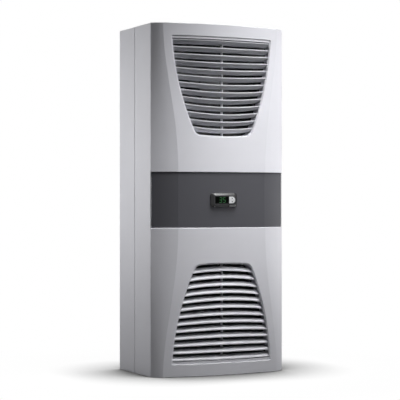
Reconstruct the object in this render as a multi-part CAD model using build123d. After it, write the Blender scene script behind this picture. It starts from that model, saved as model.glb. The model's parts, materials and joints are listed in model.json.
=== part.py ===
"""Wall-mounted cooling unit for an electrical enclosure.

A folded steel chassis carries the inner air circuit and bolts to the enclosure; a steel hood closes the
outer circuit; two identical moulded front panels, one turned upside down, hold the louvres; a dark band
with the temperature display lies between them.

Millimetres. +Z is up, the front faces -Y, and the origin is on the ground under the middle of the housing.
"""

import math
import os

from build123d import *

# Housing
WIDTH = 400.0
HEIGHT = 950.0
DEPTH = 260.0  # enclosure wall to the crown of the front panels
CHASSIS_DEPTH = 110.0  # enclosure wall to the seam with the hood
FRONT_DEPTH = 42.0  # hood to the crown of the front panels

# Sheet steel
SHEET = 1.5
FLANGE = 18.0  # inward return at each open rim
PARTITION_CLEARANCE = 0.3
EDGE_CHAMFER = 1.2  # outer bends, which leave a shadow line where two rims meet

# Moulded front panels and the band between them
BAND_HEIGHT = 150.0
PANEL_WALL = 3.0
CROWN_RADIUS = 780.0
CREASE_INSET_END = 27.0  # side to crease at the top and bottom of the unit
CREASE_INSET_BAND = 68.0  # side to crease beside the band
CREASE_SKEW = 1.1
CREASE_INSIDE = 0.3  # part of the wall by which the inner crease lies further in
BEVEL_BULGE = 2.0
SIDE_RETURN = 2.0  # short upright side before the bevel starts
BAND_RECESS = 3.0
LIP_CHAMFER = 1.2  # front edges of the panels
LOFT_SECTIONS = 5

# Air opening in a front panel
APERTURE_MARGIN = 34.0  # end of the unit to the wide edge
APERTURE_HEIGHT = 270.0
APERTURE_INSET_WIDE = 50.0  # side of the unit to the wide edge
APERTURE_INSET_NARROW = 117.0  # side of the unit to the narrow edge
APERTURE_SIDE_BULGE = 13.0
APERTURE_FOOT_SAG = 4.0
APERTURE_FOOT_RADIUS = 25.0
APERTURE_HEAD_RADIUS = 3.0
COLLAR_WALL = 2.5
COLLAR_DEPTH = 8.0  # hood to the back of the collar

# Louvre insert
LOUVRE_CLEARANCE = 0.3
LOUVRE_FRAME = 2.0
LOUVRE_HEAD_BAR = 6.0  # frame along the wide edge
LOUVRE_RECESS = 2.0  # crown to the front of the frame
LOUVRE_LIP = 4.0  # back flange that seats on the collar
LOUVRE_LIP_THICK = 2.0
SLAT_PITCH = 20.0
SLAT_HEAD = 11.0  # wide edge to the nose of the first slat
SLAT_FOOT = 8.0  # least room from the last nose to the narrow edge
SLAT_DEPTH = 18.0
SLAT_DROP = 9.5
SLAT_KNEE = 6.5  # depth and drop of the steep front half
SLAT_THICK = 2.6
SLAT_RECESS = 4.0  # crown to the slat noses
SLAT_BOW_RADIUS = 680.0  # bow of the slat nearest the narrow edge; the first slat is straight
SLAT_OVERRUN = 6.0  # length beyond the wide edge that each slat has before it is trimmed
RIB_THICK = 2.5
RIB_RECESS = 12.0
RIB_DEPTH = 9.0

# Temperature display
DISPLAY_WIDTH = 80.0
DISPLAY_HEIGHT = 39.0
DISPLAY_PROUD = 8.0
DISPLAY_SLOPE = 7.0
DISPLAY_EDGE = 1.0  # upright edge below the slope
DISPLAY_CORNER = 9.0
DISPLAY_BODY_WIDTH = 71.0
DISPLAY_BODY_HEIGHT = 29.0
DISPLAY_BODY_DEPTH = 30.0
DISPLAY_FACE_DEPTH = 2.0
WINDOW_WIDTH = 40.0
WINDOW_HEIGHT = 19.0
WINDOW_SHIFT = -9.5
KEYPAD_RADIUS = 9.0
KEYPAD_SHIFT = 21.5
KEYPAD_PROUD = 0.8
DISPLAY_CLEARANCE = 0.2

# Filter behind the lower louvre
FILTER_OVERLAP = 10.0  # air opening to the edge of the mat
FILTER_GRIP = 25.0  # edge of the mat to the window of its frame
FILTER_FRAME_INSET = 12.0  # side of the unit to the frame
FILTER_FRAME_HEAD = 30.0  # air opening to the head of the frame
FILTER_FRAME_GAP = 2.5  # base sheet to the foot of the frame
FILTER_FRAME_THICK = 4.0

# Fan of the outer circuit, behind the upper louvre
FAN_SIDE_GAP = 17.0  # hood return to the housing
FAN_FRONT_GAP = 13.0  # hood return to the front of the housing
FAN_OVERLAP = 13.0  # air opening to the head and foot of the housing
FAN_BORE_MARGIN = 18.0  # bore to the nearer edge of the housing
FAN_TIP_GAP = 4.0
FAN_HUB_RADIUS = 45.0
FAN_BLADE_DEPTH = 34.0
FAN_BLADES = 5
FAN_BLADE_THICK = 2.5
FAN_BLADE_PITCH = 32.0
FAN_BLADE_COVER = 0.8  # part of the circle that the blades may take up
FAN_BLADE_ROOT = 1.0  # depth that a blade is let into the hub

# Rear openings to the enclosure and the inner circuit behind them
OPENING_INSET = 50.0  # side of the unit to both openings
INLET_HEIGHT = 220.0
INLET_MARGIN = 85.0  # top of the unit to the inlet
OUTLET_HEIGHT = 140.0
OUTLET_MARGIN = 120.0  # ground to the outlet
OPENING_CORNER = 10.0
PAN_RIM = 14.0
PAN_DEPTH = 22.0
NOZZLE_RADIUS = 88.0
IMPELLER_RADIUS = 108.0
IMPELLER_DEPTH = 42.0
IMPELLER_GAP = 3.0
IMPELLER_LEAN = 35.0
IMPELLER_BLADES = 7
IMPELLER_BLADE_THICK = 3.0
IMPELLER_MOTOR_RADIUS = 50.0
COIL_SIDE_OVERLAP = 10.0  # outlet to the end of the fin pack
COIL_HEAD_OVERLAP = 30.0  # outlet to the head and foot of the fin pack
COIL_DEPTH = 55.0
COIL_END = 3.0
FIN_PITCH = 8.0
FIN_GAP = 5.0
FIN_DEPTH = 14.0

# Fixings and services on the back
GASKET_THICK = 3.0
GASKET_WIDTH = 12.0
GASKET_INSET = 6.0
BOLT_INSET_SIDE = 30.0
BOLT_INSET_END = 35.0
INSERT_BORE = 3.4  # radius, tapped for M8
INSERT_BODY = 5.5
INSERT_LENGTH = 18.0
DRAIN_BORE = 6.0
DRAIN_WALL = 2.0
DRAIN_LENGTH = 28.0
DRAIN_INSET = 60.0
SOCKET_WIDTH = 62.0
SOCKET_HEIGHT = 26.0
SOCKET_DEPTH = 30.0
SOCKET_FLANGE = 5.0
SOCKET_WALL = 2.0
SOCKET_FLOOR = 5.0
SOCKET_INSET = 90.0  # side of the unit to the middle of the socket
SOCKET_DROP = 85.0  # inlet to the middle of the socket

# Distances below which two places count as the same when edges are picked
SAME = 0.01
NEAR = 0.3

# Places that follow from the sizes above
Y_WALL = DEPTH / 2
Y_BACK = Y_WALL - GASKET_THICK
Y_SEAM = Y_WALL - CHASSIS_DEPTH
Y_CROWN = -DEPTH / 2
Y_FACE = Y_CROWN + FRONT_DEPTH
Y_COLLAR = Y_FACE - COLLAR_DEPTH
Y_LOUVRE = Y_COLLAR + LOUVRE_LIP_THICK
Y_PARTITION = Y_SEAM + SHEET
Z_MIDDLE = HEIGHT / 2
Z_BAND_TOP = Z_MIDDLE + BAND_HEIGHT / 2
Z_APERTURE_TOP = HEIGHT - APERTURE_MARGIN
PANEL_HEIGHT = HEIGHT - Z_BAND_TOP
OPENING_WIDTH = WIDTH - 2 * OPENING_INSET
INLET_CENTRE = HEIGHT - INLET_MARGIN - INLET_HEIGHT / 2
OUTLET_CENTRE = OUTLET_MARGIN + OUTLET_HEIGHT / 2
SOCKET_X = WIDTH / 2 - SOCKET_INSET
SOCKET_Z = INLET_CENTRE - INLET_HEIGHT / 2 - SOCKET_DROP
SLATS = int((APERTURE_HEIGHT - SLAT_HEAD - SLAT_FOOT) / SLAT_PITCH) + 1


def block(x_size, y_front, y_back, z_low, z_high, x=0.0):
    """An upright box between two Y planes and two levels."""
    box = Box(x_size, y_back - y_front, z_high - z_low)
    return Pos(x, (y_front + y_back) / 2, (z_low + z_high) / 2) * box


def prism(sketch, y_front, y_back):
    """A flat outline drawn in X and Z, drawn out between two Y planes."""
    plane = Plane((0, y_back, 0), x_dir=(1, 0, 0), z_dir=(0, -1, 0))
    return extrude(plane * sketch, amount=y_back - y_front)


def upside_down(shape):
    """The same moulding turned half a turn about the fore-and-aft axis of the unit."""
    return shape.rotate(Axis((0, 0, Z_MIDDLE), (0, 1, 0)), 180)


def crown(x, inset=0.0):
    """Y of the crowned front at a distance x from the middle."""
    radius = CROWN_RADIUS - inset
    return Y_CROWN + CROWN_RADIUS - math.sqrt(radius**2 - x**2)


def crease_inset(z):
    """Distance of the crease from the side of the unit at a level above the band."""
    share = ((z - Z_BAND_TOP) / PANEL_HEIGHT) ** CREASE_SKEW
    ease = share * share * (3 - 2 * share)
    return CREASE_INSET_BAND + (CREASE_INSET_END - CREASE_INSET_BAND) * ease


def bevel_arc(corner, crease):
    """A slightly bulging arc from the corner of the side to the crease."""
    run = Vector(*crease) - Vector(*corner)
    middle = Vector(*corner) + run * 0.5
    outward = Vector(run.Y, -run.X).normalized()
    if outward.Y > 0:
        outward = outward * -1
    return ThreePointArc(corner, middle + outward * BEVEL_BULGE, crease)


def front_section(inset_crease, inset=0.0, y_back=Y_FACE):
    """Plan of the front moulding in X and Y: crowned front, two bevels, short sides and a straight back."""
    side = WIDTH / 2 - inset
    corner = Y_FACE - SIDE_RETURN + inset / 2
    x_crease = WIDTH / 2 - inset_crease - CREASE_INSIDE * inset
    y_crease = crown(x_crease, inset)
    right = bevel_arc((side, corner), (x_crease, y_crease))
    left = bevel_arc((-side, corner), (-x_crease, y_crease))
    front = ThreePointArc((x_crease, y_crease), (0, Y_CROWN + inset), (-x_crease, y_crease))
    sides = Line((-side, corner), (-side, y_back)) + Line((side, y_back), (side, corner))
    back = Line((-side, y_back), (side, y_back))
    return make_face([*right.edges(), *front.edges(), *left.edges(), *sides.edges(), *back.edges()])


def front_body(z_low, z_high, inset=0.0, y_back=Y_FACE):
    """Solid front moulding between two levels above the band, with creases that draw in towards the band."""
    levels = [z_low + (z_high - z_low) * i / (LOFT_SECTIONS - 1) for i in range(LOFT_SECTIONS)]
    return loft([Pos(0, 0, z) * front_section(crease_inset(z), inset, y_back) for z in levels])


def arc_circle(start, middle, end):
    """Centre and radius of the circle through three points."""
    d1, d2 = middle - start, end - start
    turn = 2 * (d1.X * d2.Y - d1.Y * d2.X)
    q1, q2 = d1.X**2 + d1.Y**2, d2.X**2 + d2.Y**2
    to_centre = Vector((q1 * d2.Y - q2 * d1.Y) / turn, (q2 * d1.X - q1 * d2.X) / turn)
    return start + to_centre, to_centre.length


def circles_meet(centre_1, radius_1, centre_2, radius_2, near):
    """The crossing of two circles that lies nearer to a given point."""
    gap = centre_2 - centre_1
    along = (radius_1**2 - radius_2**2 + gap.length**2) / (2 * gap.length)
    across = math.sqrt(radius_1**2 - along**2)
    way = gap.normalized()
    foot = centre_1 + way * along
    normal = Vector(-way.Y, way.X) * across
    return min((foot + normal, foot - normal), key=lambda point: (point - near).length)


def arc_between(start, end, centre, radius):
    """The shorter arc between two points of a circle."""
    middle = centre + ((start + end) * 0.5 - centre).normalized() * radius
    return ThreePointArc(start, middle, end)


def aperture(grow=0.0):
    """Outline of the upper air opening in X and Z, larger all round by grow: straight head, bulging sides
    that close in towards the band, bowed foot and rounded corners."""
    head = Vector(WIDTH / 2 - APERTURE_INSET_WIDE, Z_APERTURE_TOP)
    z_foot = Z_APERTURE_TOP - APERTURE_HEIGHT + APERTURE_FOOT_SAG
    foot = Vector(WIDTH / 2 - APERTURE_INSET_NARROW, z_foot)
    run = foot - head
    bulge = head + run * 0.5 + Vector(-run.Y, run.X).normalized() * APERTURE_SIDE_BULGE
    side_centre, side_radius = arc_circle(head, bulge, foot)
    low = Vector(0, foot.Y - APERTURE_FOOT_SAG)
    foot_centre, foot_radius = arc_circle(Vector(-foot.X, foot.Y), low, foot)
    side_radius, foot_radius = side_radius + grow, foot_radius + grow
    z_head = Z_APERTURE_TOP + grow
    x_head = side_centre.X + math.sqrt(side_radius**2 - (z_head - side_centre.Y) ** 2)
    head = Vector(x_head, z_head)
    foot = circles_meet(side_centre, side_radius, foot_centre, foot_radius, foot)
    side = arc_between(head, foot, side_centre, side_radius)
    face = make_face(
        [
            Line((-head.X, head.Y), (head.X, head.Y)),
            side,
            arc_between(foot, Vector(-foot.X, foot.Y), foot_centre, foot_radius),
            side.mirror(Plane.YZ),
        ]
    )
    face = fillet(face.vertices().sort_by(Axis.Y)[:2], APERTURE_FOOT_RADIUS + grow)
    return fillet(face.vertices().sort_by(Axis.Y)[-2:], APERTURE_HEAD_RADIUS + grow)


def front_panel():
    """Upper front panel: a moulded skin with a collar round the air opening and eased front edges."""
    skin = front_body(Z_BAND_TOP, HEIGHT)
    cavity = front_body(Z_BAND_TOP + PANEL_WALL, HEIGHT - PANEL_WALL, PANEL_WALL, Y_FACE + PANEL_WALL)
    collar = skin & prism(aperture(COLLAR_WALL), Y_CROWN, Y_COLLAR)
    tunnel = prism(aperture(), Y_CROWN - PANEL_WALL, Y_FACE)
    panel = skin - cavity + collar - tunnel
    return chamfer([edge for edge in panel.edges() if on_front_rim(edge)], LIP_CHAMFER)


def on_front_rim(edge):
    """Whether an edge of a front panel runs along the head, the foot or the lip of the air opening."""
    middle, start = edge @ 0.5, edge @ 0.0
    for level in (Z_BAND_TOP, HEIGHT):
        if abs(middle.Z - level) < SAME and abs(start.Z - level) < SAME:
            return middle.Y < Y_FACE - SIDE_RETURN - SAME
    if abs(middle.Y - crown(middle.X)) > NEAR:
        return False
    lip = aperture().faces()[0].outer_wire()
    return lip.distance_to(Vertex(middle.X, middle.Z, 0)) < NEAR


def slat(index, trim):
    """One louvre blade, steep behind its nose and flatter behind its knee, bowed across its length and
    following the crown."""
    nose_y, nose_z = Y_CROWN + SLAT_RECESS, Z_APERTURE_TOP - SLAT_HEAD - SLAT_PITCH * index
    under = [(0, 0), (SLAT_KNEE, -SLAT_KNEE), (SLAT_DEPTH, -SLAT_DROP)]
    over = [(y, z + SLAT_THICK) for y, z in reversed(under)]
    profile = Pos(nose_y, nose_z) * make_face(Polyline(*under, *over, close=True))
    bend = Vector(0, 1 / (CROWN_RADIUS - SLAT_RECESS), index / (SLATS - 1) / SLAT_BOW_RADIUS)
    pivot = Vector(0, nose_y, nose_z) + bend / bend.length**2
    axis = Axis(pivot, Vector(1, 0, 0).cross(bend))
    reach = WIDTH / 2 - APERTURE_INSET_WIDE + SLAT_OVERRUN
    swing = 2 * math.degrees(math.asin(reach * bend.length))
    blade = (Plane.YZ * profile).rotate(axis, -swing / 2)
    return revolve(blade, axis, swing) & trim


def crown_block(inset):
    """Everything behind the crown, set back by an inset, over the height of the upper panel."""
    half = WIDTH / 2 - CREASE_INSET_END
    edges = [
        ThreePointArc((-half, crown(half, inset)), (0, Y_CROWN + inset), (half, crown(half, inset))),
        Line((half, crown(half, inset)), (half, Y_FACE)),
        Line((half, Y_FACE), (-half, Y_FACE)),
        Line((-half, Y_FACE), (-half, crown(half, inset))),
    ]
    return Pos(0, 0, Z_BAND_TOP) * extrude(make_face(edges), amount=PANEL_HEIGHT)


def louvre():
    """Upper louvre insert: a frame that seats on the collar, its slats and the rib that ties them."""
    outside = aperture(-LOUVRE_CLEARANCE)
    z_bar = Z_APERTURE_TOP - LOUVRE_CLEARANCE - LOUVRE_HEAD_BAR
    inside = prism(aperture(-LOUVRE_CLEARANCE - LOUVRE_FRAME), Y_CROWN, Y_LOUVRE)
    inside -= block(WIDTH, Y_CROWN, Y_LOUVRE, z_bar, Z_APERTURE_TOP)
    frame = crown_block(LOUVRE_RECESS) & prism(outside, Y_CROWN, Y_LOUVRE)
    lip = prism(aperture(LOUVRE_LIP), Y_COLLAR, Y_LOUVRE)
    frame = frame + lip - inside
    trim = aperture(-LOUVRE_CLEARANCE - LOUVRE_FRAME / 2)
    trim = prism(trim, Y_CROWN, Y_LOUVRE - LOUVRE_LIP_THICK / 2)
    y_rib = Y_CROWN + RIB_RECESS
    rib = block(RIB_THICK, y_rib, y_rib + RIB_DEPTH, Z_APERTURE_TOP - APERTURE_HEIGHT, Z_APERTURE_TOP)
    return frame + [slat(i, trim) for i in range(SLATS)] + (rib & trim)


def centre_band():
    """Dark band between the panels, recessed, with the cut-out for the display body."""
    z_low = Z_MIDDLE - BAND_HEIGHT / 2
    skin = extrude(Pos(0, 0, z_low) * front_section(CREASE_INSET_BAND, BAND_RECESS), amount=BAND_HEIGHT)
    hollow = front_section(CREASE_INSET_BAND, BAND_RECESS + PANEL_WALL, Y_FACE + PANEL_WALL)
    hollow = extrude(Pos(0, 0, z_low + PANEL_WALL) * hollow, amount=BAND_HEIGHT - 2 * PANEL_WALL)
    cut = block(
        DISPLAY_BODY_WIDTH + 2 * DISPLAY_CLEARANCE,
        Y_CROWN,
        Y_FACE,
        Z_MIDDLE - DISPLAY_BODY_HEIGHT / 2 - DISPLAY_CLEARANCE,
        Z_MIDDLE + DISPLAY_BODY_HEIGHT / 2 + DISPLAY_CLEARANCE,
    )
    return skin - hollow - cut


def display():
    """Bezel with its body, the window, and the keypad with its straight side by the window."""
    y_band = Y_CROWN + BAND_RECESS
    y_front = y_band - DISPLAY_PROUD
    y_seat = crown(DISPLAY_WIDTH / 2, BAND_RECESS)
    base = RectangleRounded(DISPLAY_WIDTH, DISPLAY_HEIGHT, DISPLAY_CORNER)
    level = Pos(0, Z_MIDDLE)
    boss = prism(level * base, y_front, y_seat)
    rim = boss.faces().sort_by(Axis.Y)[0].edges()
    boss = chamfer(rim, DISPLAY_PROUD - DISPLAY_EDGE, DISPLAY_SLOPE)
    behind = extrude(front_section(CREASE_INSET_BAND, BAND_RECESS), amount=HEIGHT)
    body_outline = Rectangle(DISPLAY_BODY_WIDTH, DISPLAY_BODY_HEIGHT)
    body = prism(level * body_outline, y_band, y_band + DISPLAY_BODY_DEPTH)
    y_recess = y_front + DISPLAY_FACE_DEPTH
    window = Pos(WINDOW_SHIFT, Z_MIDDLE) * Rectangle(WINDOW_WIDTH, WINDOW_HEIGHT)
    keypad = Circle(KEYPAD_RADIUS) + Pos(-KEYPAD_RADIUS / 2, 0) * Rectangle(KEYPAD_RADIUS, 2 * KEYPAD_RADIUS)
    bezel = boss - behind + body
    bezel = bezel - prism(window, y_front, y_recess)
    pane = Rectangle(WINDOW_WIDTH - 2 * DISPLAY_CLEARANCE, WINDOW_HEIGHT - 2 * DISPLAY_CLEARANCE)
    glass = prism(Pos(WINDOW_SHIFT, Z_MIDDLE) * pane, y_front + DISPLAY_FACE_DEPTH / 2, y_recess)
    return bezel, glass, prism(Pos(KEYPAD_SHIFT, Z_MIDDLE) * keypad, y_front - KEYPAD_PROUD, y_front)


def rear_opening(height, centre):
    return Pos(0, centre) * RectangleRounded(OPENING_WIDTH, height, OPENING_CORNER)


def bolt_places():
    """The four fixing points on the back, as X and Z."""
    column = WIDTH / 2 - BOLT_INSET_SIDE
    rows = (BOLT_INSET_END, HEIGHT - BOLT_INSET_END)
    return [(x, z) for z in rows for x in (-column, column)]


def chassis_back():
    """Back plate with the two air openings, the fixing holes and the socket cut-out."""
    plate = chassis_shell() & block(WIDTH - 2 * SHEET, Y_BACK - SHEET, Y_BACK, 0, HEIGHT)
    cuts = [rear_opening(INLET_HEIGHT, INLET_CENTRE), rear_opening(OUTLET_HEIGHT, OUTLET_CENTRE)]
    cuts += [Pos(x, z) * RegularPolygon(INSERT_BODY, 6) for x, z in bolt_places()]
    cuts += [Pos(SOCKET_X, SOCKET_Z) * Rectangle(SOCKET_WIDTH, SOCKET_HEIGHT)]
    return plate - [prism(cut, Y_BACK - SHEET, Y_BACK) for cut in cuts]


def chassis_shell():
    """Folded tray, open at the seam, with returns that meet the hood."""
    shell = chamfer(block(WIDTH, Y_SEAM, Y_BACK, 0, HEIGHT).edges(), EDGE_CHAMFER)
    shell -= block(WIDTH - 2 * SHEET, Y_PARTITION, Y_BACK - SHEET, SHEET, HEIGHT - SHEET)
    return shell - block(WIDTH - 2 * FLANGE, Y_SEAM, Y_PARTITION, FLANGE, HEIGHT - FLANGE)


def chassis_sides():
    """The two side plates of the chassis with their returns."""
    shell = chassis_shell()
    plates = []
    for hand in (-1, 1):
        wall = block(SHEET, Y_SEAM, Y_BACK, 0, HEIGHT, hand * (WIDTH - SHEET) / 2)
        rim = block(FLANGE, Y_SEAM, Y_PARTITION, 0, HEIGHT, hand * (WIDTH - FLANGE) / 2)
        plates += (shell & (wall + rim)).solids()
    return Compound(children=plates)


def chassis_end(z_outside, z_inside, z_rim):
    """The top or base plate of the chassis between the sides, with its return."""
    plate = block(WIDTH - 2 * SHEET, Y_PARTITION, Y_BACK - SHEET, *sorted((z_outside, z_inside)))
    rim = block(WIDTH - 2 * FLANGE, Y_SEAM, Y_PARTITION, *sorted((z_outside, z_rim)))
    return chassis_shell() & (plate + rim)


def chassis_base():
    """Base plate with the condensate drain, whose spout stands up inside and is flush underneath."""
    place = Pos(0, Y_BACK - DRAIN_INSET, 0)
    spout = extrude(place * Circle(DRAIN_BORE + DRAIN_WALL), amount=DRAIN_LENGTH)
    bore = extrude(place * Circle(DRAIN_BORE), amount=DRAIN_LENGTH)
    return chassis_end(0, SHEET, FLANGE) + spout - bore


def hood():
    """Folded steel sleeve with a return at the chassis and another behind the front panels."""
    shell = chamfer(block(WIDTH, Y_FACE, Y_SEAM, 0, HEIGHT).edges(), EDGE_CHAMFER)
    shell -= block(WIDTH - 2 * SHEET, Y_FACE + SHEET, Y_SEAM - SHEET, SHEET, HEIGHT - SHEET)
    return shell - block(WIDTH - 2 * FLANGE, Y_FACE, Y_SEAM, FLANGE, HEIGHT - FLANGE)


def partition_plate():
    """Plate on the chassis rim that keeps the two air circuits apart."""
    clear = 2 * (SHEET + PARTITION_CLEARANCE)
    half = (HEIGHT - clear) / 2
    return block(WIDTH - clear, Y_PARTITION, Y_PARTITION + SHEET, Z_MIDDLE - half, Z_MIDDLE + half)


def filter_parts():
    """Filter mat against the back of the lower louvre, held by a frame behind the hood rim."""
    y_frame = Y_FACE + SHEET
    y_back = y_frame + FILTER_FRAME_THICK
    width = WIDTH - 2 * (APERTURE_INSET_WIDE - FILTER_OVERLAP)
    low = APERTURE_MARGIN - FILTER_OVERLAP
    high = APERTURE_MARGIN + APERTURE_HEIGHT + FILTER_OVERLAP
    mat = block(width, Y_LOUVRE, y_frame, low, high)
    window = block(width - 2 * FILTER_GRIP, y_frame, y_back, low + FILTER_GRIP, high - FILTER_GRIP)
    foot = SHEET + FILTER_FRAME_GAP
    head = APERTURE_MARGIN + APERTURE_HEIGHT + FILTER_FRAME_HEAD
    frame = block(WIDTH - 2 * FILTER_FRAME_INSET, y_frame, y_back, foot, head)
    return frame - window, mat


def fan_blade(hub, tip, depth):
    """One axial blade: a pitched plate trimmed between the hub, the tip circle and its neighbours."""
    plate = Pos(tip, 0, 0) * Rot(FAN_BLADE_PITCH, 0, 0) * Box(2 * tip, 4 * depth, FAN_BLADE_THICK)
    annulus = Cylinder(tip, depth) - Cylinder(hub, depth)
    half = math.radians(FAN_BLADE_COVER * 180 / FAN_BLADES)
    far = Vector(2 * tip * math.cos(half), 2 * tip * math.sin(half))
    sector = extrude(make_face(Polyline((0, 0), (far.X, -far.Y), far, close=True)), amount=depth, both=True)
    return plate & annulus & sector


def condenser_fan():
    """Housing on the partition and the axial impeller on its outer-rotor motor, fixed to the same plate."""
    z = Z_APERTURE_TOP - APERTURE_HEIGHT / 2
    y_front = Y_FACE + SHEET + FAN_FRONT_GAP
    width = WIDTH - 2 * (FLANGE + FAN_SIDE_GAP)
    height = APERTURE_HEIGHT + 2 * FAN_OVERLAP
    bore = min(width, height) / 2 - FAN_BORE_MARGIN
    low, high = z - height / 2, z + height / 2
    housing = block(width, y_front, Y_PARTITION, low, high)
    housing -= block(width - 2 * SHEET, y_front + SHEET, Y_PARTITION, low + SHEET, high - SHEET)
    housing -= prism(Pos(0, z) * Circle(bore), y_front, y_front + SHEET)
    y_hub = y_front + SHEET + FAN_TIP_GAP
    impeller = prism(Pos(0, z) * Circle(FAN_HUB_RADIUS), y_hub, Y_PARTITION)
    turn = Pos(0, y_hub + FAN_BLADE_DEPTH / 2, z) * Rot(90, 0, 0)
    blade = fan_blade(FAN_HUB_RADIUS - FAN_BLADE_ROOT, bore - FAN_TIP_GAP, FAN_BLADE_DEPTH)
    return housing, impeller + [turn * Rot(0, 0, 360 / FAN_BLADES * i) * blade for i in range(FAN_BLADES)]


def evaporator_fan():
    """Inlet pan with its nozzle behind the upper rear opening, and the radial impeller on its motor."""
    y_rim = Y_BACK - SHEET
    y_pan = y_rim - PAN_DEPTH
    width, height = OPENING_WIDTH + 2 * PAN_RIM, INLET_HEIGHT + 2 * PAN_RIM
    low, high = INLET_CENTRE - height / 2, INLET_CENTRE + height / 2
    pan = block(width, y_pan, y_rim, low, high)
    pan -= block(width - 2 * SHEET, y_pan + SHEET, y_rim, low + SHEET, high - SHEET)
    level = Pos(0, INLET_CENTRE)
    pan -= prism(level * Circle(NOZZLE_RADIUS), y_pan, y_pan + SHEET)
    y_disc = y_pan - IMPELLER_GAP - IMPELLER_DEPTH
    impeller = prism(level * Circle(IMPELLER_MOTOR_RADIUS), Y_PARTITION + SHEET, y_disc)
    impeller += prism(level * Circle(IMPELLER_RADIUS), y_disc, y_disc + SHEET)
    length = IMPELLER_RADIUS - NOZZLE_RADIUS
    vane = Rot(0, 0, IMPELLER_LEAN) * Rectangle(length, IMPELLER_BLADE_THICK)
    vane = Pos(NOZZLE_RADIUS + length / 2, 0) * vane
    vanes = [level * Rot(0, 0, 360 / IMPELLER_BLADES * i) * vane for i in range(IMPELLER_BLADES)]
    return pan, impeller + [prism(v, y_disc, y_disc + IMPELLER_DEPTH) for v in vanes]


def evaporator_coil():
    """Fin pack behind the lower rear opening and the two end plates that carry it on the partition."""
    y_front = Y_PARTITION + SHEET
    width, height = OPENING_WIDTH + 2 * COIL_SIDE_OVERLAP, OUTLET_HEIGHT + 2 * COIL_HEAD_OVERLAP
    low, high = OUTLET_CENTRE - height / 2, OUTLET_CENTRE + height / 2
    pack = block(width, y_front, y_front + COIL_DEPTH, low, high)
    gaps = int((width - FIN_PITCH) / FIN_PITCH)
    places = [FIN_PITCH * (i - (gaps - 1) / 2) for i in range(gaps)]
    y_fin = y_front + COIL_DEPTH - FIN_DEPTH
    slots = Sketch() + [Pos(x, y_fin + FIN_DEPTH / 2) * Rectangle(FIN_GAP, FIN_DEPTH) for x in places]
    pack -= extrude(Pos(0, 0, low) * slots, amount=height)
    half = (width + COIL_END) / 2
    ends = [block(COIL_END, y_front, y_front + COIL_DEPTH, low, high, x) for x in (-half, half)]
    return pack, Compound(children=ends)


def rear_gasket():
    """Foam seal round the back that the enclosure wall presses on."""
    outer = Rectangle(WIDTH - 2 * GASKET_INSET, HEIGHT - 2 * GASKET_INSET)
    band = 2 * (GASKET_INSET + GASKET_WIDTH)
    inner = Rectangle(WIDTH - band, HEIGHT - band)
    return prism(Pos(0, Z_MIDDLE) * (outer - inner), Y_BACK, Y_WALL)


def mounting_inserts():
    """Tapped hexagon bushes pressed into the back plate, flush with its outside."""
    ring = RegularPolygon(INSERT_BODY, 6) - Circle(INSERT_BORE)
    bushes = [prism(Pos(x, z) * ring, Y_BACK - INSERT_LENGTH, Y_BACK) for x, z in bolt_places()]
    return Compound(children=[solid for bush in bushes for solid in bush.solids()])


def terminal_socket():
    """Plug-in supply socket let into the back, its flange inside the plate."""
    level = Pos(SOCKET_X, SOCKET_Z)
    y_plate = Y_BACK - SHEET
    shell = prism(level * Rectangle(SOCKET_WIDTH, SOCKET_HEIGHT), Y_BACK - SOCKET_DEPTH, Y_BACK)
    flange = Rectangle(SOCKET_WIDTH + 2 * SOCKET_FLANGE, SOCKET_HEIGHT + 2 * SOCKET_FLANGE)
    shell += prism(level * flange, y_plate - SOCKET_WALL, y_plate)
    mouth = Rectangle(SOCKET_WIDTH - 2 * SOCKET_WALL, SOCKET_HEIGHT - 2 * SOCKET_WALL)
    return shell - prism(level * mouth, Y_BACK - SOCKET_DEPTH + SOCKET_FLOOR, Y_BACK)


def build():
    panel, grille = front_panel(), louvre()
    bezel, glass, keypad = display()
    filter_frame, filter_mat = filter_parts()
    fan_housing, fan_impeller = condenser_fan()
    inlet_pan, inner_impeller = evaporator_fan()
    coil, coil_ends = evaporator_coil()
    return {
        "chassis_back": chassis_back(),
        "chassis_sides": chassis_sides(),
        "chassis_top": chassis_end(HEIGHT, HEIGHT - SHEET, HEIGHT - FLANGE),
        "chassis_base": chassis_base(),
        "partition_plate": partition_plate(),
        "hood": hood(),
        "front_panels": Compound(children=[*panel.solids(), *upside_down(panel).solids()]),
        "louvres": Compound(children=[*grille.solids(), *upside_down(grille).solids()]),
        "centre_band": centre_band(),
        "display_bezel": bezel,
        "display_window": glass,
        "display_keypad": keypad,
        "filter_frame": filter_frame,
        "filter_mat": filter_mat,
        "condenser_fan_housing": fan_housing,
        "condenser_fan_impeller": fan_impeller,
        "evaporator_inlet_pan": inlet_pan,
        "evaporator_fan_impeller": inner_impeller,
        "evaporator_coil": coil,
        "coil_end_plates": coil_ends,
        "rear_gasket": rear_gasket(),
        "mounting_inserts": mounting_inserts(),
        "terminal_socket": terminal_socket(),
    }


os.makedirs("parts", exist_ok=True)
for name, shape in build().items():
    export_step(shape, f"parts/{name}.step")
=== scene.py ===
"""Looks of the enclosure cooling unit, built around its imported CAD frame."""

import json
import math

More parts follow.
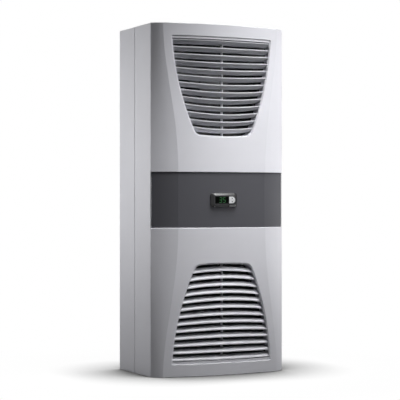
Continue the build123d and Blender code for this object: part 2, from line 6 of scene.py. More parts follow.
import bmesh
import bpy
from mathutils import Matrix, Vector


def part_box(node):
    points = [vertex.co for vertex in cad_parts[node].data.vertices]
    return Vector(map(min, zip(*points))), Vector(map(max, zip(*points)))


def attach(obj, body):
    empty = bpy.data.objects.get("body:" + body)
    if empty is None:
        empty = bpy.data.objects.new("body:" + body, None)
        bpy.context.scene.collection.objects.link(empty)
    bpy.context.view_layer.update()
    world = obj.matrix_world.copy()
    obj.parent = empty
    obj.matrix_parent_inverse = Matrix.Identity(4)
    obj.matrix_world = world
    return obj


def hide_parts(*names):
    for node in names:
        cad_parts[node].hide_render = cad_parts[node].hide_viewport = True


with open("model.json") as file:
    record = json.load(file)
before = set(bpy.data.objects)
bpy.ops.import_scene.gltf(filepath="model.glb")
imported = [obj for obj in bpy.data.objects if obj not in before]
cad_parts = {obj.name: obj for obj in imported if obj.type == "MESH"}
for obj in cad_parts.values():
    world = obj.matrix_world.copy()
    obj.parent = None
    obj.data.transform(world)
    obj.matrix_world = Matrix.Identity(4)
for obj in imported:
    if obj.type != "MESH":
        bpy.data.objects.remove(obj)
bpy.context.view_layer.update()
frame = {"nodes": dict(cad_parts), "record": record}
nodes = frame["nodes"]
scene = bpy.context.scene

# Sizes of the added pieces, in metres

DIGITS = "35"
DIGIT_WIDTH = 0.0072
DIGIT_HEIGHT = 0.0135
DIGIT_PITCH = 0.0112
DIGIT_SHIFT = 0.0020  # middle of the digits from the middle of the window
DIGIT_STROKE = 0.0016
DIGIT_SLANT = 0.10  # lean to the side for each unit of height
SEGMENT_SHOULDER = 1.3  # end of a segment to its full width, in half strokes
SEGMENT_TIP = 0.4  # end of a segment to its point, in half strokes
SEGMENT_PROUD = 0.0002
KEY_SPLIT = 0.0007
KEY_EDGE = 0.0003
KEY_ARC_STEPS = 16
MARK_SIZE = 0.0040
MARK_RISE = 0.16  # middle of the keys to an arrow, as a share of their height
MARK_PROUD = 0.00005
TAB_WIDTH = 0.019
TAB_LENGTH = 0.0045
TAB_PROUD = 0.0003
TAB_INSET = 0.006  # side of the bezel to the tab
BEZEL_SLOPE = 0.007  # depth and height of the slope round the bezel
SEAM_WIDTH = 0.0014
SEAM_DEPTH = 0.0008
SCREW_RADIUS = 0.0035
SCREW_HEIGHT = 0.0022
SCREW_MARGIN = 0.011  # rear opening to the screws round it
SCREW_PITCH = 0.085
SCREW_SIDES = 24
CAP_RADIUS = 0.040
CAP_HEIGHT = 0.0008
CAP_STEP = 0.6  # height of the rim, as a share of the cap's
CAP_SCREWS = 6
CAP_SCREW_CIRCLE = 0.031
CAP_SCREW_RADIUS = 0.0030
CAP_SCREW_HEIGHT = 0.0009
IMPELLER_DEPTH = 0.042  # disc of the inner fan to the ends of its blades
IMPELLER_DISC = 0.0015
NOZZLE_RADIUS = 0.088
NOZZLE_LIP = 0.0045
NOZZLE_LIP_STEPS = 8
PAN_SHEET = 0.0015
ROUND_SIDES = 64
FIN_PITCH = 0.0024
FIN_THICK = 0.0007
TUBE_RADIUS = 0.0048
TUBE_ROWS = 8
TUBE_STARTS = (0.25, 0.75)  # foot of the coil to each column's first tube, in row pitches
TUBE_SIDES = 14
SOCKET_FLOOR = 0.005  # front of the socket to the floor of its well
PIN_SIZE = 0.0016
PIN_LENGTH = 0.015
PIN_PITCH = 0.009
PIN_COUNT = 6

# Finishes

# Place along Y where the outer air circuit ends: the middle of the partition plate; the galvanised
# sheet in front of it gets painted shade
PAINTED_SHADE_END = sum(corner.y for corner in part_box("partition_plate")) / 2
TEXTURE_SPAN = (0.3, 0.7)  # part of a texture's range over which a finish changes
NOISE_DETAIL = 3.0


def noise(tree, vector, scale):
    """Soft, even noise."""
    node = tree.nodes.new("ShaderNodeTexNoise")
    node.inputs["Scale"].default_value = scale
    node.inputs["Detail"].default_value = NOISE_DETAIL
    tree.links.new(vector, node.inputs["Vector"])
    return node.outputs["Fac"]


def cells(tree, vector, scale, output="Distance"):
    """Cells, as the distance from their middles or as a colour for each."""
    node = tree.nodes.new("ShaderNodeTexVoronoi")
    node.inputs["Scale"].default_value = scale
    tree.links.new(vector, node.inputs["Vector"])
    return node.outputs[output]


def between(tree, factor, low, high, span=TEXTURE_SPAN):
    """A number that runs from low to high over a span of another."""
    node = tree.nodes.new("ShaderNodeMapRange")
    node.inputs["From Min"].default_value, node.inputs["From Max"].default_value = span
    node.inputs["To Min"].default_value = low
    node.inputs["To Max"].default_value = high
    tree.links.new(factor, node.inputs["Value"])
    return node.outputs["Result"]


def blend(tree, factor, first, second, span=TEXTURE_SPAN):
    """A colour that runs from one to another over a span of a number."""
    ramp = tree.nodes.new("ShaderNodeValToRGB")
    for element, place, color in zip(ramp.color_ramp.elements, span, (first, second)):
        element.position = place
        element.color = (*color, 1.0)
    tree.links.new(factor, ramp.inputs["Fac"])
    return ramp.outputs["Color"]


def shades(tree, factor, color, swing):
    """A colour that gets darker and lighter by a share with a texture."""
    darker = [value * (1 - swing) for value in color]
    lighter = [value * (1 + swing) for value in color]
    return blend(tree, factor, darker, lighter)


def relief(tree, height, depth):
    """A surface that a texture raises by a depth in metres."""
    bump = tree.nodes.new("ShaderNodeBump")
    bump.inputs["Strength"].default_value = 1.0
    bump.inputs["Distance"].default_value = depth
    tree.links.new(height, bump.inputs["Height"])
    return bump.outputs["Normal"]


def behind(tree, vector, edge):
    """1 behind a place along Y, 0 before it."""
    place = tree.nodes.new("ShaderNodeSeparateXYZ")
    tree.links.new(vector, place.inputs["Vector"])
    node = tree.nodes.new("ShaderNodeMath")
    node.operation = "GREATER_THAN"
    node.inputs[1].default_value = edge
    tree.links.new(place.outputs["Y"], node.inputs[0])
    return node.outputs["Value"]


def blank(name, metallic=0.0, specular=0.5, stretch=(1.0, 1.0, 1.0)):
    """A new material with its shader and its texture space, in metres."""
    mat = bpy.data.materials.new(name)
    mat.use_nodes = True
    tree = mat.node_tree
    shader = tree.nodes["Principled BSDF"]
    shader.inputs["Metallic"].default_value = metallic
    shader.inputs["Specular IOR Level"].default_value = specular
    coord = tree.nodes.new("ShaderNodeTexCoord")
    mapping = tree.nodes.new("ShaderNodeMapping")
    mapping.inputs["Scale"].default_value = stretch
    tree.links.new(coord.outputs["Object"], mapping.inputs["Vector"])
    return mat, tree, shader, mapping.outputs["Vector"]


def finish(
    name,
    color,
    rough,
    grain,
    metallic=0.0,
    specular=0.5,
    mottle=(7.0, 0.02),
    gloss=(30.0, 0.04),
):
    """Slow changes of colour, faster changes of gloss and a fine relief.

    Grain, mottle and gloss each hold the scale of a texture and an amount.
    """
    mat, tree, shader, vector = blank(name, metallic, specular)
    tint = shades(tree, noise(tree, vector, mottle[0]), color, mottle[1])
    dull = between(tree, noise(tree, vector, gloss[0]), rough - gloss[1], rough + gloss[1])
    tree.links.new(tint, shader.inputs["Base Color"])
    tree.links.new(dull, shader.inputs["Roughness"])
    tree.links.new(relief(tree, noise(tree, vector, grain[0]), grain[1]), shader.inputs["Normal"])
    return mat


def housing_paint():
    """Powder coat with a fine orange peel."""
    return finish(
        "housing_paint",
        color=(0.60, 0.60, 0.64),
        rough=0.45,
        grain=(650.0, 0.000012),
        specular=0.2,
    )


def front_moulding():
    """Nearly the same grey on a moulding, a little smoother."""
    return finish(
        "front_moulding",
        color=(0.63, 0.63, 0.67),
        rough=0.42,
        grain=(900.0, 0.000008),
        specular=0.2,
    )


def louvre_moulding():
    """The slats, in the housing's grey."""
    return finish(
        "louvre_moulding",
        color=(0.60, 0.60, 0.64),
        rough=0.42,
        grain=(900.0, 0.000008),
        specular=0.12,
    )


def band_moulding():
    """Dark grey moulding with a spark-eroded grain."""
    return finish(
        "band_moulding",
        color=(0.08, 0.08, 0.09),
        rough=0.5,
        grain=(1500.0, 0.00002),
        specular=0.08,
    )


def display_black():
    """Satin black moulding of the bezel."""
    return finish(
        "display_black",
        color=(0.015, 0.015, 0.017),
        rough=0.15,
        grain=(1800.0, 0.000006),
        specular=0.35,
        gloss=(90.0, 0.03),
    )


def display_pane():
    """Smoked window, smooth but with little reflection."""
    return finish(
        "display_pane",
        color=(0.001, 0.0015, 0.001),
        rough=0.08,
        grain=(500.0, 0.000001),
        specular=0.02,
        gloss=(60.0, 0.02),
    )


def keypad_silver():
    """Silver lacquer on a moulded key."""
    return finish(
        "keypad_silver",
        color=(0.62, 0.63, 0.64),
        rough=0.42,
        grain=(2200.0, 0.000006),
        specular=0.3,
        mottle=(300.0, 0.05),
    )


def dark_plastic():
    """Black moulding of the fans, the filter's frame and the socket."""
    return finish(
        "dark_plastic",
        color=(0.020, 0.020, 0.022),
        rough=0.5,
        grain=(1200.0, 0.00002),
        mottle=(20.0, 0.15),
    )


def filter_foam():
    """Open-cell filter foam."""
    mat, tree, shader, vector = blank("filter_foam", specular=0.1)
    pores = cells(tree, vector, scale=420.0)
    tint = shades(tree, pores, color=(0.020, 0.020, 0.020), swing=0.6)
    tree.links.new(tint, shader.inputs["Base Color"])
    tree.links.new(relief(tree, pores, depth=0.0012), shader.inputs["Normal"])
    shader.inputs["Roughness"].default_value = 0.95
    return mat


def galvanised_sheet():
    """Zinc-coated sheet with its spangle, with painted shade: near black in the outer air circuit,
    for the dark seen between the slats.
    """
    mat, tree, shader, vector = blank("galvanised_sheet", metallic=0.2, specular=0.3)
    spangle = cells(tree, vector, scale=150.0, output="Color")
    zinc = shades(tree, spangle, color=(0.55, 0.56, 0.57), swing=0.08)
    # Painted shade: a near-black colour, a little uneven, on the sheet in front of the partition
    # plate's middle
    painted_shade = shades(tree, noise(tree, vector, scale=60.0), color=(0.05, 0.05, 0.05), swing=0.25)
    tint = tree.nodes.new("ShaderNodeMixRGB")
    tree.links.new(behind(tree, vector, PAINTED_SHADE_END), tint.inputs["Fac"])
    tree.links.new(painted_shade, tint.inputs["Color1"])
    tree.links.new(zinc, tint.inputs["Color2"])
    tree.links.new(tint.outputs["Color"], shader.inputs["Base Color"])
    tree.links.new(between(tree, spangle, low=0.50, high=0.62), shader.inputs["Roughness"])
    ripple = relief(tree, noise(tree, vector, scale=300.0), depth=0.00001)
    tree.links.new(ripple, shader.inputs["Normal"])
    return mat


def fin_aluminium():
    """Rolled fin stock, streaked along the height of the fins."""
    mat, tree, shader, vector = blank("fin_aluminium", metallic=0.6, stretch=(1.0, 1.0, 0.05))
    streaks = noise(tree, vector, scale=700.0)
    tint = shades(tree, streaks, color=(0.78, 0.79, 0.80), swing=0.10)
    tree.links.new(tint, shader.inputs["Base Color"])
    tree.links.new(between(tree, streaks, low=0.28, high=0.42), shader.inputs["Roughness"])
    return mat


def seal_foam():
    """Closed-cell rubber foam."""
    return finish(
        "seal_foam",
        color=(0.030, 0.030, 0.030),
        rough=0.85,
        grain=(900.0, 0.00015),
        specular=0.2,
        mottle=(120.0, 0.3),
    )


def plated_steel():
    """Zinc plating with a faint yellow and blue bloom."""
    mat, tree, shader, vector = blank("plated_steel", metallic=1.0)
    yellow, blue = (0.56, 0.55, 0.47), (0.60, 0.62, 0.66)
    tint = blend(tree, noise(tree, vector, scale=90.0), yellow, blue, span=(0.35, 0.65))
    dull = between(tree, noise(tree, vector, scale=500.0), low=0.24, high=0.36)
    tree.links.new(tint, shader.inputs["Base Color"])
    tree.links.new(dull, shader.inputs["Roughness"])
    return mat


def digit_light(name, color):
    """A display segment: dark glass with a glow that is a little uneven."""
    mat, tree, shader, vector = blank(name, specular=0.02)
    glow = shades(tree, noise(tree, vector, scale=400.0), color, swing=0.15)
    tree.links.new(glow, shader.inputs["Emission Color"])
    shader.inputs["Emission Strength"].default_value = 1.0
    shader.inputs["Base Color"].default_value = (0.003, 0.004, 0.003, 1.0)
    shader.inputs["Roughness"].default_value = 0.3
    return mat


def digit_green():
    """A lit segment."""
    return digit_light("digit_green", color=(0.035, 0.115, 0.045))


def digit_off_painted_glow():
    """A segment that is off, with a faint painted glow standing in for the light it catches."""
    return digit_light("digit_off_painted_glow", color=(0.0006, 0.0012, 0.0007))


def tab_grey():
    """Matt grey of the strip under the keys."""
    return finish(
        "tab_grey",
        color=(0.52, 0.53, 0.53),
        rough=0.6,
        grain=(1500.0, 0.00001),
        specular=0.2,
        mottle=(200.0, 0.1),
    )


def tube_copper():
    """Tarnished copper of the coil's tubes."""
    return finish(
        "tube_copper",
        color=(0.16, 0.085, 0.055),
        rough=0.55,
        grain=(900.0, 0.00001),
        metallic=0.8,
        mottle=(150.0, 0.2),
    )


SLOT_FINISHES = (
    housing_paint,
    front_moulding,
    louvre_moulding,
    band_moulding,
    display_black,
    display_pane,
    keypad_silver,
    dark_plastic,
    filter_foam,
    galvanised_sheet,
    fin_aluminium,
    seal_foam,
    plated_steel,
)
by_slot = {make.__name__: make() for make in SLOT_FINISHES}
for part in frame["record"]["subparts"]:
    node = nodes[part["node"]]
    node.data.materials.clear()
    node.data.materials.append(by_slot[part["material_slot"]])


# Mesh helpers


def piece(name, mesh, slot, material=None, stands_for=()):
    """Finish a mesh as a piece that rides on the housing and takes its look from a slot."""
    bmesh.ops.recalc_face_normals(mesh, faces=mesh.faces)
    data = bpy.data.meshes.new(name)
    mesh.to_mesh(data)
    mesh.free()
    data.materials.append(material or by_slot[slot])
    obj = bpy.data.objects.new(name, data)
    scene.collection.objects.link(obj)
    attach(obj, "root")
    if stands_for:
        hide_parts(*stands_for)


def add_skin(mesh, rings, closed=False):
    """A closed skin over rings of points: capped at both ends, or joined end to end."""
    loops = [[mesh.verts.new(point) for point in ring] for ring in rings]
    pairs = list(zip(loops, loops[1:]))
    if closed:
        pairs.append((loops[-1], loops[0]))
    else:
        mesh.faces.new(loops[0])
        mesh.faces.new(list(reversed(loops[-1])))
    for near, far in pairs:
        for i in range(len(near)):
            j = (i + 1) % len(near)
            mesh.faces.new((near[i], near[j], far[j], far[i]))


def add_prism(mesh, outline, y_front, y_back):
    """An outline of X and Z points, drawn out along Y."""
    add_skin(mesh, [[(x, y, z) for x, z in outline] for y in (y_front, y_back)])


def rectangle(half_x, half_z):
    """Corners of a rectangle about its middle."""
    return ((-half_x, -half_z), (half_x, -half_z), (half_x, half_z), (-half_x, half_z))


def circle(radius, sides, corners=0):
    """Points round a circle, or round a polygon with that many corners."""
    points = []
    for i in range(sides):
        angle = 2 * math.pi * i / sides
        reach = radius
        if corners:
            part = 2 * math.pi / corners
            reach = radius * math.cos(part / 2) / math.cos(angle % part - part / 2)
        points.append((reach * math.cos(angle), reach * math.sin(angle)))
    return points


def shrink(outline, amount):
    """An outline moved towards its own middle by about an amount."""
    middle_x = sum(x for x, _ in outline) / len(outline)
    middle_z = sum(z for _, z in outline) / len(outline)
    moved = []
    for x, z in outline:
        away = Vector((x - middle_x, z - middle_z))
        away *= max(0.0, 1 - amount / away.length)
        moved.append((middle_x + away.x, middle_z + away.y))
    return moved


def middle_of(name):
    """X and Z of the middle of a CAD node."""
    low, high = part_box(name)
    return (low.x + high.x) / 2, (low.z + high.z) / 2


# Temperature display

# Column and row of both ends of each segment, from the lower left corner
SEGMENT_ENDS = {
    "a": ((0, 2), (1, 2)),
    "b": ((1, 2), (1, 1)),
    "c": ((1, 1), (1, 0)),
    "d": ((0, 0), (1, 0)),
    "e": ((0, 1), (0, 0)),
    "f": ((0, 2), (0, 1)),
    "g": ((0, 1), (1, 1)),
}
LIT_SEGMENTS = {"3": "abcdg", "5": "acdfg"}


def segment_outline(start, end):
    """A bar with pointed ends between two points, leaning as the digits do."""
    start, end = Vector(start), Vector(end)
    along = (end - start).normalized() * DIGIT_STROKE / 2
    across = Vector((-along.y, along.x))
    near, far = start + along * SEGMENT_SHOULDER, end - along * SEGMENT_SHOULDER
    points = (
        start + along * SEGMENT_TIP,
        near + across,
        far + across,
        end - along * SEGMENT_TIP,
        far - across,
        near - across,
    )
    return [(point.x + DIGIT_SLANT * point.y, point.y) for point in points]


def display_digits():
    """Two seven-segment digits in the window, with the unlit segments faintly there as a painted
    glow.
    """
    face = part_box("display_window")[0].y
    middle_x, middle_z = middle_of("display_window")
    lit, unlit = bmesh.new(), bmesh.new()
    for index, digit in enumerate(DIGITS):
        centre = middle_x + DIGIT_SHIFT + (index - (len(DIGITS) - 1) / 2) * DIGIT_PITCH
        left = centre - DIGIT_WIDTH / 2
        for name, ends in SEGMENT_ENDS.items():
            points = [(column * DIGIT_WIDTH, (row - 1) * DIGIT_HEIGHT / 2) for column, row in ends]
            outline = [(left + x, middle_z + z) for x, z in segment_outline(*points)]
            mesh = lit if name in LIT_SEGMENTS[digit] else unlit
            add_prism(mesh, outline, face - SEGMENT_PROUD, face)
    piece("display_digits", lit, "display_pane", digit_green())
    piece("display_digits_unlit", unlit, "display_pane", digit_off_painted_glow())


def key_outline(low, high, side):
    """Half of the key field: straight beside the window, round on the far side."""
    middle = (low.z + high.z) / 2
    radius = (high.z - low.z) / 2
    centre = high.x - radius
    start = math.asin(KEY_SPLIT / 2 / radius)
    points = [(low.x, KEY_SPLIT / 2), (low.x, radius)]
    for i in range(KEY_ARC_STEPS + 1):
        angle = math.pi / 2 + (start - math.pi / 2) * i / KEY_ARC_STEPS
        points.append((centre + radius * math.cos(angle), radius * math.sin(angle)))
    return [(x, middle + side * z) for x, z in points]


def display_keys():
    """The two keys with eased edges, and an arrow on each."""
    low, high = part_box("display_keypad")
    middle_x, middle_z = middle_of("display_keypad")
    keys, marks = bmesh.new(), bmesh.new()
    face = low.y + MARK_PROUD
    half = MARK_SIZE / 2
    for side in (1, -1):
        outline = key_outline(low, high, side)
        eased = shrink(outline, KEY_EDGE)
        rings = ((eased, face), (outline, face + KEY_EDGE), (outline, high.y))
        add_skin(keys, [[(x, y, z) for x, z in ring] for ring, y in rings])
        base = middle_z + side * (high.z - low.z) * MARK_RISE
        tip = base + side * MARK_SIZE
        arrow = [(middle_x - half, base), (middle_x + half, base), (middle_x, tip)]
        add_prism(marks, arrow, low.y, face + KEY_EDGE)
    piece("display_keys", keys, "keypad_silver", stands_for=("display_keypad",))
    piece("display_key_marks", marks, "display_black")


def display_tab():
    """Plain grey strip on the lower slope of the bezel, under the keys."""
    low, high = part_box("display_bezel")
    right = high.x - TAB_INSET
    start = (BEZEL_SLOPE - TAB_LENGTH) / 2
    end = start + TAB_LENGTH
    section = []
    for reach, side in ((start, 1), (end, 1), (end, -1), (start, -1)):
        proud = side * TAB_PROUD
        section.append((low.y + reach - proud, low.z + BEZEL_SLOPE - reach - proud))
    mesh = bmesh.new()
    add_skin(mesh, [[(x, y, z) for y, z in section] for x in (right - TAB_WIDTH, right)])
    piece("display_tab", mesh, "keypad_silver", tab_grey())


# Housing seams and the back

# Shares of a screw's radius and height, and the corners of its recess
SCREW_PROFILE = (
    (1.0, 0.0, 0),
    (1.0, 0.5, 0),
    (0.82, 0.88, 0),
    (0.62, 1.0, 0),
    (0.5, 1.0, 6),
    (0.48, 0.45, 6),
)

# Shares of the fan cap's radius and height
CAP_PROFILE = (
    (1.0, 0.0),
    (1.0, 0.5),
    (0.96, CAP_STEP),
    (0.58, CAP_STEP),
    (0.54, 1.0),
    (0.2, 1.0),
)

# Shares of a pin's length and thickness
PIN_PROFILE = ((0.0, 1.0), (0.85, 1.0), (1.0, 0.4))


def seam_painted_shade():
    """Dark strips in the grooves before and behind the hood: painted shade standing in for the
    shadow in the gaps.
    """
    low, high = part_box("hood")
    middle, half = (low.z + high.z) / 2, (high.z - low.z) / 2
    mesh = bmesh.new()
    for seam in (low.y, high.y):
        rings = []
        for depths, lean in ((1, -1), (1, 1), (2, 1), (2, -1)):
            inset = depths * SEAM_DEPTH
            y = seam + lean * SEAM_WIDTH / 2
            rings.append([(x, y, middle + z) for x, z in rectangle(high.x - inset, half - inset)])
        add_skin(mesh, rings, closed=True)
    piece("seam_painted_shade", mesh, "seal_foam")


def screw_places(low, high):
    """Places along the head and foot of a rear opening."""
    run = high.x - low.x
    gaps = max(1, round(run / SCREW_PITCH))
    places = []
    for z in (low.z - SCREW_MARGIN, high.z + SCREW_MARGIN):
        places += [(low.x + run * i / gaps, z) for i in range(gaps + 1)]
    return places


def add_screw(mesh, x, y, z, radius, height):
    """Pan head with a hexagon recess, facing backwards."""
    rings = []
    for reach, share, corners in SCREW_PROFILE:
        ring = circle(radius * reach, SCREW_SIDES, corners)
        rings.append([(x + across, y + height * share, z + up) for across, up in ring])
    add_skin(mesh, rings)


def rear_screws():
    """Screws round the two rear openings."""
    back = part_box("chassis_back")[1].y
    mesh = bmesh.new()
    for opening in ("evaporator_inlet_pan", "evaporator_coil"):
        for x, z in screw_places(*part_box(opening)):
            add_screw(mesh, x, back, z, SCREW_RADIUS, SCREW_HEIGHT)
    piece("rear_screws", mesh, "plated_steel")


def fan_cap():
    """Thin stepped cap on the disc of the inner fan, with a ring of screws."""
    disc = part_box("evaporator_fan_impeller")[1].y - IMPELLER_DEPTH + IMPELLER_DISC
    x, z = middle_of("evaporator_fan_impeller")
    cap, screws = bmesh.new(), bmesh.new()
    rings = []
    for reach, share in CAP_PROFILE:
        ring = circle(CAP_RADIUS * reach, ROUND_SIDES)
        y = disc + CAP_HEIGHT * share
        rings.append([(x + across, y, z + up) for across, up in ring])
    add_skin(cap, rings)
    rim = disc + CAP_HEIGHT * CAP_STEP
    for across, up in circle(CAP_SCREW_CIRCLE, CAP_SCREWS):
        add_screw(screws, x + across, rim, z + up, CAP_SCREW_RADIUS, CAP_SCREW_HEIGHT)
    piece("fan_cap", cap, "dark_plastic")
    piece("fan_cap_screws", screws, "plated_steel")


def nozzle_ring():
    """Rolled bell mouth round the inlet of the inner fan."""
    low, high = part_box("evaporator_inlet_pan")
    plate = low.y + PAN_SHEET
    middle = (low.z + high.z) / 2
    rings = []
    for i in range(NOZZLE_LIP_STEPS + 1):
        angle = math.pi * i / NOZZLE_LIP_STEPS
        y = plate + NOZZLE_LIP * math.sin(angle)
        ring = circle(NOZZLE_RADIUS + NOZZLE_LIP * (1 - math.cos(angle)), ROUND_SIDES)
        rings.append([(x, y, middle + z) for x, z in ring])
    mesh = bmesh.new()
    add_skin(mesh, rings, closed=True)
    piece("nozzle_ring", mesh, "galvanised_sheet")


def coil_fins():
    """Fine fins and the tubes through them, in the place of the plain fin pack."""
    low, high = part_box("evaporator_coil")
    middle_x, middle_z = middle_of("evaporator_coil")
    depth, height = high.y - low.y, high.z - low.z
    fins, tubes = bmesh.new(), bmesh.new()
    count = int((high.x - low.x) / FIN_PITCH)
    for i in range(count):
        x = middle_x + (i - (count - 1) / 2) * FIN_PITCH
        sheet = rectangle(FIN_THICK / 2, height / 2)
        outline = [(x + across, middle_z + up) for across, up in sheet]
        add_prism(fins, outline, low.y, high.y)
    for column, start in enumerate(TUBE_STARTS):
        y = low.y + depth * (column + 0.5) / len(TUBE_STARTS)
        for row in range(TUBE_ROWS):
            z = low.z + height * (row + start) / TUBE_ROWS
            wall = circle(TUBE_RADIUS, TUBE_SIDES)
            ends = [[(x, y + back, z + up) for back, up in wall] for x in (low.x, high.x)]
            add_skin(tubes, ends)
    piece("coil_fins", fins, "fin_aluminium", stands_for=("evaporator_coil",))
    piece("coil_tubes", tubes, "fin_aluminium", tube_copper())


def socket_pins():
    """A row of contact pins with pointed tips in the supply socket."""
    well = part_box("terminal_socket")[0].y + SOCKET_FLOOR
    middle_x, middle_z = middle_of("terminal_socket")
    mesh = bmesh.new()
    for i in range(PIN_COUNT):
        x = middle_x + (i - (PIN_COUNT - 1) / 2) * PIN_PITCH
        rings = []
        for share, wide in PIN_PROFILE:
            y = well + PIN_LENGTH * share
            half = PIN_SIZE / 2 * wide
            ring = rectangle(half, half)
            rings.append([(x + across, y, middle_z + up) for across, up in ring])
        add_skin(mesh, rings)
    piece("socket_pins", mesh, "plated_steel")


display_digits()
display_keys()
display_tab()
seam_painted_shade()
rear_screws()
fan_cap()
nozzle_ring()
coil_fins()
socket_pins()


# Stage: floor, background, light and camera

FLOOR_SIZE = 60.0
FLOOR_NEAR = 0.35  # distance from the unit's middle within which its shadow shows in full
FLOOR_FAR = 0.75  # distance from the unit's middle at which the floor is plain white
FLOOR_GLOW = 0.97  # brightness of the open floor without the lamps' light
FLOOR_LIT = 0.04  # grey by which the near floor shows the lamps' light
FLOOR_BOUNCE = 0.1  # grey by which the floor throws light back on the unit
SHADOW_REACH = 0.22  # width of the soft shadow where the unit meets the floor
SHADOW_GLOW = 0.06  # brightness of the floor where the shadow is deepest
SHADOW_OPEN = 0.5  # openness of the floor at which the shadow is deepest
WORLD_TINT = (0.94, 0.96, 1.0, 1.0)
WORLD_LEVEL = 0.02
WHITE = (1.0, 1.0, 1.0, 1.0)
CAMERA_PLACE = (-1.7657, -3.6472, 0.475)
CAMERA_TURN = math.radians(25.7)  # from straight at the front towards the unit's right
CAMERA_SENSOR = 36.0  # in millimetres, and so is the lens
CAMERA_LENS = 130.6
CAMERA_REACH = 200.0
SEEN_RAYS = ("Is Camera Ray", "Is Glossy Ray", "Is Transmission Ray")


def seen_directly(tree):
    """1 for the rays that show a surface itself, 0 for those that only carry its light."""
    path = tree.nodes.new("ShaderNodeLightPath")
    total = path.outputs[SEEN_RAYS[0]]
    for kind in SEEN_RAYS[1:]:
        larger = tree.nodes.new("ShaderNodeMath")
        larger.operation = "MAXIMUM"
        tree.links.new(total, larger.inputs[0])
        tree.links.new(path.outputs[kind], larger.inputs[1])
        total = larger.outputs["Value"]
    return total


def mix(tree, factor, first, second):
    """The first shader at 0, the second at 1."""
    node = tree.nodes.new("ShaderNodeMixShader")
    tree.links.new(factor, node.inputs["Fac"])
    tree.links.new(first, node.inputs[1])
    tree.links.new(second, node.inputs[2])
    return node.outputs["Shader"]


def add(tree, first, second):
    """Both shaders together."""
    node = tree.nodes.new("ShaderNodeAddShader")
    tree.links.new(first, node.inputs[0])
    tree.links.new(second, node.inputs[1])
    return node.outputs["Shader"]


def emission(tree, strength=None):
    """White glow, plain or with a strength that varies."""
    node = tree.nodes.new("ShaderNodeEmission")
    node.inputs["Strength"].default_value = 1.0
    if strength:
        tree.links.new(strength, node.inputs["Strength"])
    return node.outputs["Emission"]


def diffuse(tree, level):
    """Plain grey."""
    node = tree.nodes.new("ShaderNodeBsdfDiffuse")
    node.inputs["Color"].default_value = (level, level, level, 1.0)
    return node.outputs["BSDF"]


def floor_distance(tree):
    """0 near the unit, 1 where the floor is plain white."""
    coord = tree.nodes.new("ShaderNodeTexCoord")
    reach = tree.nodes.new("ShaderNodeVectorMath")
    reach.operation = "LENGTH"
    tree.links.new(coord.outputs["Object"], reach.inputs[0])
    return between(tree, reach.outputs["Value"], 0.0, 1.0, span=(FLOOR_NEAR, FLOOR_FAR))


def floor_shadow(tree):
    """Brightness of the floor, low where the unit stands close over it."""
    contact = tree.nodes.new("ShaderNodeAmbientOcclusion")
    contact.inputs["Distance"].default_value = SHADOW_REACH
    span = (SHADOW_OPEN, 1.0)
    return between(tree, contact.outputs["AO"], SHADOW_GLOW, FLOOR_GLOW, span)


def floor_white():
    """Pale floor that keeps the shadow near the unit and turns to plain white further out."""
    mat = bpy.data.materials.new("floor_white")
    mat.use_nodes = True
    tree = mat.node_tree
    near = add(tree, emission(tree, floor_shadow(tree)), diffuse(tree, FLOOR_LIT))
    shown = mix(tree, floor_distance(tree), near, emission(tree))
    out = mix(tree, seen_directly(tree), diffuse(tree, FLOOR_BOUNCE), shown)
    tree.links.new(out, tree.nodes["Material Output"].inputs["Surface"])
    return mat


def background():
    """Plain white where it is seen, and a low even light on the object."""
    world = bpy.data.worlds.new("studio")
    scene.world = world
    world.use_nodes = True
    tree = world.node_tree
    soft = tree.nodes["Background"]
    soft.inputs["Color"].default_value = WORLD_TINT
    soft.inputs["Strength"].default_value = WORLD_LEVEL
    white = tree.nodes.new("ShaderNodeBackground")
    white.inputs["Color"].default_value = WHITE
    white.inputs["Strength"].default_value = 1.0
    both = mix(tree, seen_directly(tree), soft.outputs["Background"], white.outputs["Background"])
    tree.links.new(both, tree.nodes["World Output"].inputs["Surface"])


def softbox(name, azimuth, distance, height, size, power, target, spread=180):
    """A rectangular light round the unit: azimuth 0 is in front of it, 90 at its right."""
    light = bpy.data.lights.new(name, "AREA")
    light.shape = "RECTANGLE"
    light.size, light.size_y = size
    light.energy = power
    light.spread = math.radians(spread)
    lamp = bpy.data.objects.new(name, light)
    scene.collection.objects.link(lamp)
    turn = math.radians(azimuth)
    lamp.location = (distance * math.sin(turn), -distance * math.cos(turn), height)
    aim = Vector(target) - lamp.location
    lamp.rotation_mode = "QUATERNION"
    lamp.rotation_quaternion = aim.to_track_quat("-Z", "Y")


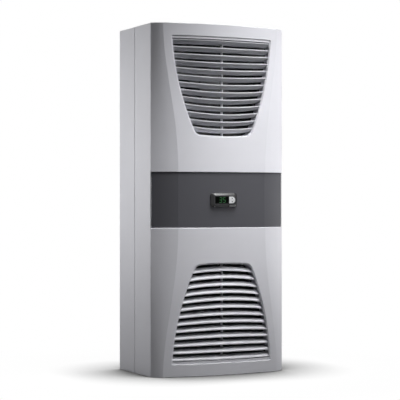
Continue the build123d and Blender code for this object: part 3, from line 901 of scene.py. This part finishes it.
def photo_camera():
    """A level camera at the place that was fitted to the photograph."""
    data = bpy.data.cameras.new("camera")
    data.sensor_width = CAMERA_SENSOR
    data.lens = CAMERA_LENS
    data.clip_end = CAMERA_REACH
    obj = bpy.data.objects.new("camera", data)
    scene.collection.objects.link(obj)
    obj.location = CAMERA_PLACE
    ahead = Vector((math.sin(CAMERA_TURN), math.cos(CAMERA_TURN), 0.0))
    obj.rotation_mode = "QUATERNION"
    obj.rotation_quaternion = ahead.to_track_quat("-Z", "Y")
    return obj


bpy.ops.mesh.primitive_plane_add(size=FLOOR_SIZE)
floor = bpy.context.object
floor.name = "floor"
floor.data.materials.append(floor_white())

background()
softbox(
    "key",
    azimuth=45,
    distance=1.1,
    height=1.45,
    size=(0.5, 0.5),
    power=1.65,
    target=(0.02, -0.13, 0.66),
    spread=60,
)
softbox(
    "over_low",
    azimuth=12,
    distance=0.5,
    height=1.5,
    size=(0.7, 0.3),
    power=1.7,
    target=(0, -0.13, 0.24),
    spread=50,
)
softbox(
    "front",
    azimuth=25,
    distance=1.5,
    height=1.0,
    size=(0.6, 0.4),
    power=0.4,
    target=(0.05, -0.13, 0.42),
    spread=45,
)
softbox(
    "right",
    azimuth=85,
    distance=0.9,
    height=0.42,
    size=(0.2, 0.4),
    power=0.5,
    target=(0.19, -0.1, 0.4),
    spread=90,
)
softbox(
    "glint",
    azimuth=70,
    distance=0.6,
    height=1.75,
    size=(0.2, 0.1),
    power=0.11,
    target=(0, -0.14, 0.5),
    spread=60,
)
softbox(
    "left",
    azimuth=-125,
    distance=1.4,
    height=0.6,
    size=(0.6, 0.6),
    power=2.3,
    target=(-0.2, 0, 0.57),
    spread=70,
)
softbox(
    "left_high",
    azimuth=-130,
    distance=1.5,
    height=1.2,
    size=(0.5, 0.5),
    power=1.5,
    target=(-0.2, 0, 0.7),
)
softbox(
    "rear",
    azimuth=180,
    distance=2.0,
    height=1.2,
    size=(1.0, 1.0),
    power=14.0,
    target=(0, 0.13, 0.5),
)
scene.camera = photo_camera()

scene.view_settings.view_transform = "Standard"
